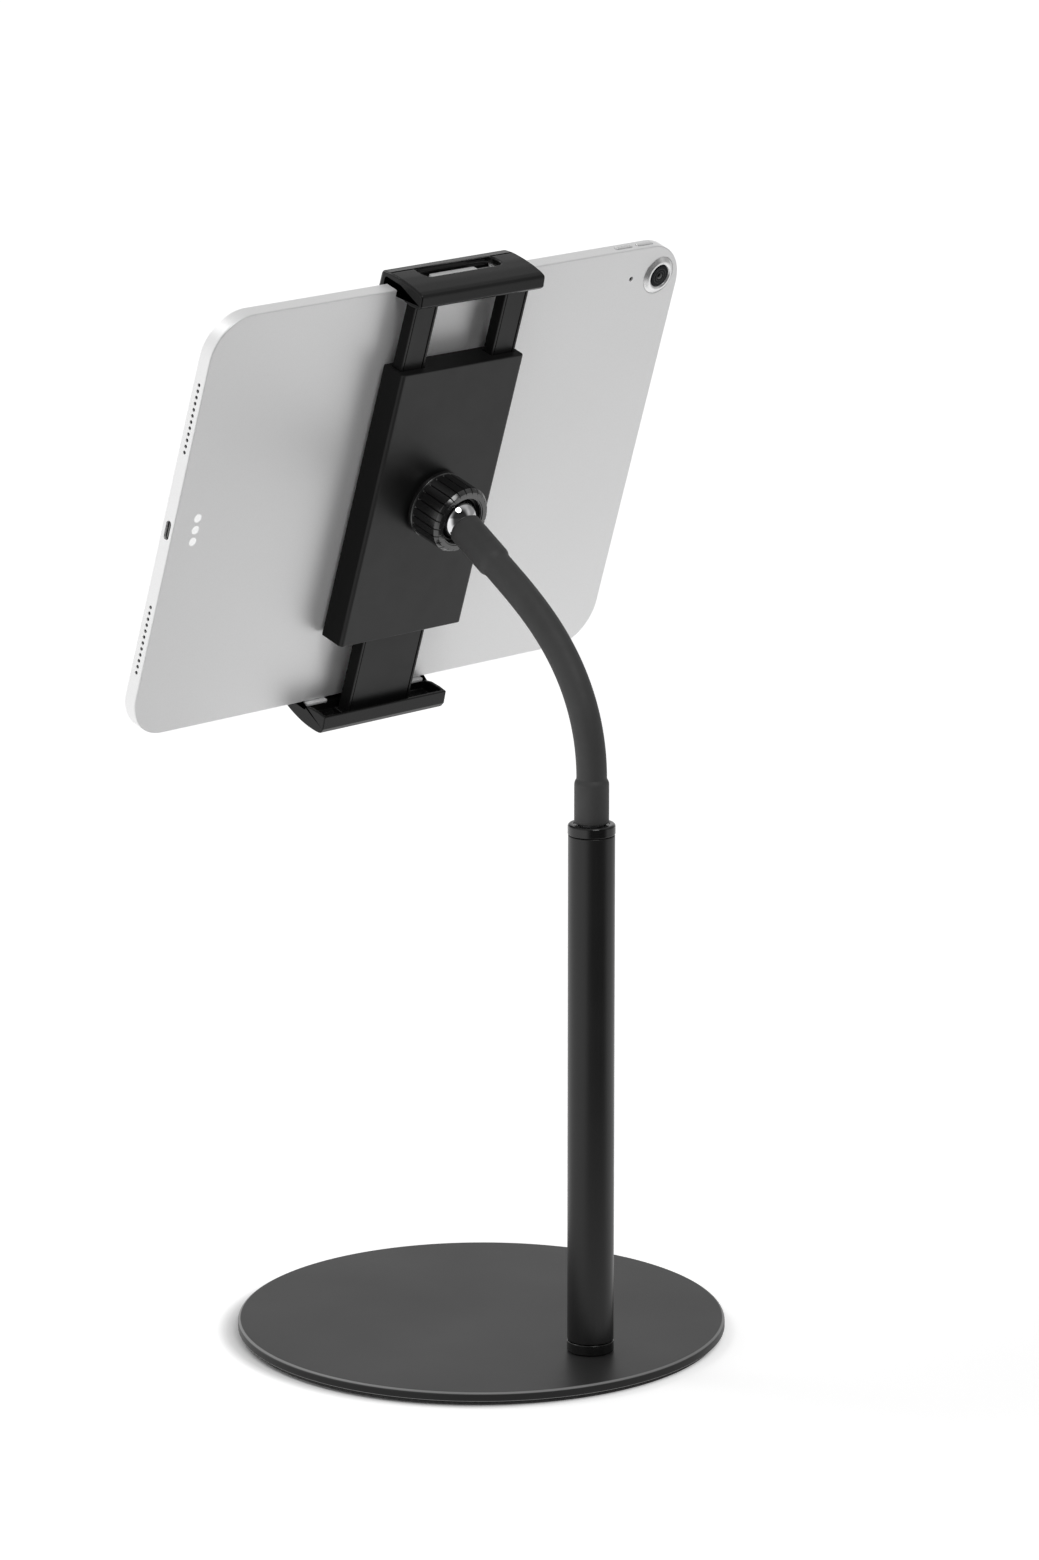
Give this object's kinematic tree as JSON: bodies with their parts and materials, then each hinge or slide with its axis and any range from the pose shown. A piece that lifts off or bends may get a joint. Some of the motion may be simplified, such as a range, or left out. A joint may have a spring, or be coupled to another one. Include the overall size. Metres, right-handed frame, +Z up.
{
  "type": "gooseneck tablet stand",
  "caption": "Desk stand with a weighted round base, upright column and gooseneck; a ball-jointed spring clamp holds a flat tablet at a lean.",
  "frame": {"origin": "centre of the underside of the round base, on the surface it stands on", "axes": "+Z up; -Y is the side the screen faces; the column stands at +Y; +X completes a right-handed frame"},
  "size_m": [0.248, 0.192, 0.4248],
  "materials": {
    "base_coat": "matte black powder coat",
    "column_coat": "satin black coat",
    "cap_plastic": "gloss black",
    "foam": "matte black foam",
    "sleeve_rubber": "matte black rubber",
    "zinc": "zinc plated",
    "chrome": "polished",
    "acetal": "satin black acetal",
    "nylon": "natural nylon",
    "holder_plastic": "fine textured black",
    "jaw_plastic": "satin black",
    "nut_plastic": "semi-gloss black",
    "silicone": "clear, frosted",
    "tablet_metal": "bead-blasted, anodised silver",
    "screen_glass": "gloss black",
    "panel": "dark",
    "cell": "wrapped cell",
    "board": "solder mask",
    "lens": "gloss black"
  },
  "bodies": {
    "stand": {"base_plate": "base_coat", "base_pad": "foam", "base_screw": "zinc", "column_foot": "cap_plastic", "column_tube": "column_coat", "column_cap": "cap_plastic", "lower_ferrule": "zinc", "sleeve_lower": "sleeve_rubber", "gooseneck_core": "zinc"},
    "neck_link_1": {"sleeve_segment_1": "sleeve_rubber"},
    "neck_link_2": {"sleeve_segment_2": "sleeve_rubber"},
    "neck_link_3": {"sleeve_segment_3": "sleeve_rubber"},
    "neck_link_4": {"sleeve_segment_4": "sleeve_rubber"},
    "neck_link_5": {"sleeve_segment_5": "sleeve_rubber"},
    "neck_link_6": {"sleeve_segment_6": "sleeve_rubber"},
    "neck_link_7": {"sleeve_segment_7": "sleeve_rubber"},
    "neck_link_8": {"sleeve_segment_8": "sleeve_rubber"},
    "neck_head": {"sleeve_upper": "sleeve_rubber", "upper_ferrule": "zinc", "ball_stud": "chrome"},
    "ball_cup": {"ball_seat": "acetal"},
    "socket_ring": {"clamp_ring": "acetal"},
    "holder": {"rear_cover": "holder_plastic", "front_plate": "holder_plastic", "plate_screw_upper_left": "zinc", "plate_screw_upper_right": "zinc", "plate_screw_lower_left": "zinc", "plate_screw_lower_right": "zinc", "pinion_axle": "zinc", "holder_pad_left": "foam", "holder_pad_right": "foam", "clamp_spring_left": "zinc", "clamp_spring_right": "zinc"},
    "washer": {"thrust_washer": "acetal"},
    "nut": {"collar_nut": "nut_plastic"},
    "upper_arm": {"upper_slider": "holder_plastic", "upper_jaw": "jaw_plastic", "upper_pad_left": "silicone", "upper_pad_right": "silicone"},
    "lower_arm": {"lower_slider": "holder_plastic", "lower_jaw": "jaw_plastic", "lower_pad_left": "silicone", "lower_pad_right": "silicone"},
    "pinion": {"sync_pinion": "nylon"},
    "tablet": {"tablet_housing": "tablet_metal", "display_glass": "screen_glass", "display_panel": "panel", "battery": "cell", "logic_board": "board", "camera_ring": "tablet_metal", "camera_lens": "lens"},
    "volume_up": {"volume_up_button": "tablet_metal"},
    "volume_down": {"volume_down_button": "tablet_metal"},
    "power": {"power_button": "tablet_metal"}
  },
  "joints": [
    {"name": "gooseneck_bend_1", "type": "hinge", "parent": "stand", "child": "neck_link_1", "pos_m": [0, 0.061, 0.23983], "axis": [1, 0, 0], "range_deg": [-11.2, 6.8], "deforming": ["gooseneck_core"]},
    {"name": "gooseneck_side_1", "type": "hinge", "parent": "neck_link_1", "child": "neck_link_2", "pos_m": [0, 0.05948, 0.25038], "axis": [0, 0.9762, 0.2168], "range_deg": [-7.5, 7.5], "deforming": ["gooseneck_core"]},
    {"name": "gooseneck_bend_2", "type": "hinge", "parent": "neck_link_2", "child": "neck_link_3", "pos_m": [0, 0.05639, 0.26058], "axis": [1, 0, 0], "range_deg": [-11.2, 6.8], "deforming": ["gooseneck_core"]},
    {"name": "gooseneck_side_2", "type": "hinge", "parent": "neck_link_3", "child": "neck_link_4", "pos_m": [0, 0.0518, 0.2702], "axis": [0, 0.869, 0.4948], "range_deg": [-7.5, 7.5], "deforming": ["gooseneck_core"]},
    {"name": "gooseneck_bend_3", "type": "hinge", "parent": "neck_link_4", "child": "neck_link_5", "pos_m": [0, 0.04587, 0.27906], "axis": [1, 0, 0], "range_deg": [-11.2, 6.8], "deforming": ["gooseneck_core"]},
    {"name": "gooseneck_side_3", "type": "hinge", "parent": "neck_link_5", "child": "neck_link_6", "pos_m": [0, 0.03883, 0.28706], "axis": [0, 0.712, 0.7022], "range_deg": [-7.5, 7.5], "deforming": ["gooseneck_core"]},
    {"name": "gooseneck_bend_4", "type": "hinge", "parent": "neck_link_6", "child": "neck_link_7", "pos_m": [0, 0.03093, 0.29421], "axis": [1, 0, 0], "range_deg": [-11.2, 6.8], "deforming": ["gooseneck_core"]},
    {"name": "gooseneck_side_4", "type": "hinge", "parent": "neck_link_7", "child": "neck_link_8", "pos_m": [0, 0.02244, 0.30067], "axis": [0, 0.5845, 0.8114], "range_deg": [-7.5, 7.5], "deforming": ["gooseneck_core"]},
    {"name": "gooseneck_bend_5", "type": "hinge", "parent": "neck_link_8", "child": "neck_head", "pos_m": [0, 0.01364, 0.30667], "axis": [1, 0, 0], "range_deg": [-11.2, 6.8], "deforming": ["gooseneck_core"]},
    {"name": "ball_tilt", "type": "hinge", "parent": "neck_head", "child": "ball_cup", "pos_m": [0, -0.01427, 0.32518], "axis": [-1, 0, 0], "range_deg": [-1.5, 32]},
    {"name": "ball_swing", "type": "hinge", "parent": "ball_cup", "child": "socket_ring", "pos_m": [0, -0.01427, 0.32518], "axis": [0, 0.3069, 0.9518], "range_deg": [-15, 15]},
    {"name": "ball_spin", "type": "hinge", "parent": "socket_ring", "child": "holder", "pos_m": [0, -0.01427, 0.32518], "axis": [0, -0.9518, 0.3069], "continuous": true},
    {"name": "collar_nut_advance", "type": "slide", "parent": "holder", "child": "washer", "axis": [0, 0.9518, -0.3069], "range_m": [-0.00008, 0.00095]},
    {"name": "collar_nut_turn", "type": "hinge", "parent": "washer", "child": "nut", "pos_m": [0, -0.01427, 0.32518], "axis": [0, 0.9518, -0.3069], "range_deg": [-20, 270]},
    {"name": "clamp_open", "type": "slide", "parent": "holder", "child": "upper_arm", "axis": [0, 0.3069, 0.9518], "range_m": [0, 0.018], "stiffness_N_per_m": 350, "springref_m": -0.03, "deforming": ["clamp_spring_left", "clamp_spring_right"]},
    {"name": "clamp_open_lower", "type": "slide", "parent": "holder", "child": "lower_arm", "axis": [0, -0.3069, -0.9518], "range_m": [0, 0.01801]},
    {"name": "pinion_turn", "type": "hinge", "parent": "holder", "child": "pinion", "pos_m": [0, -0.03312, 0.33126], "axis": [0, -0.9518, 0.3069], "range_deg": [0, 147.45]},
    {"name": "tablet_slide", "type": "slide", "parent": "holder", "child": "tablet", "axis": [-1, 0, 0], "range_m": [-0.03, 0.165]},
    {"name": "volume_up_press", "type": "slide", "parent": "tablet", "child": "volume_up", "axis": [0, -0.3069, -0.9518], "range_m": [0, 0.0003]},
    {"name": "volume_down_press", "type": "slide", "parent": "tablet", "child": "volume_down", "axis": [0, -0.3069, -0.9518], "range_m": [0, 0.0003]},
    {"name": "power_press", "type": "slide", "parent": "tablet", "child": "power", "axis": [1, 0, 0], "range_m": [0, 0.0003]}
  ],
  "couplings": [
    {"joint": "collar_nut_advance", "follows": "collar_nut_turn", "m_per_rad": 0.00019894},
    {"joint": "clamp_open_lower", "follows": "clamp_open", "ratio": 1},
    {"joint": "pinion_turn", "follows": "clamp_open", "rad_per_m": 142.86}
  ]
}
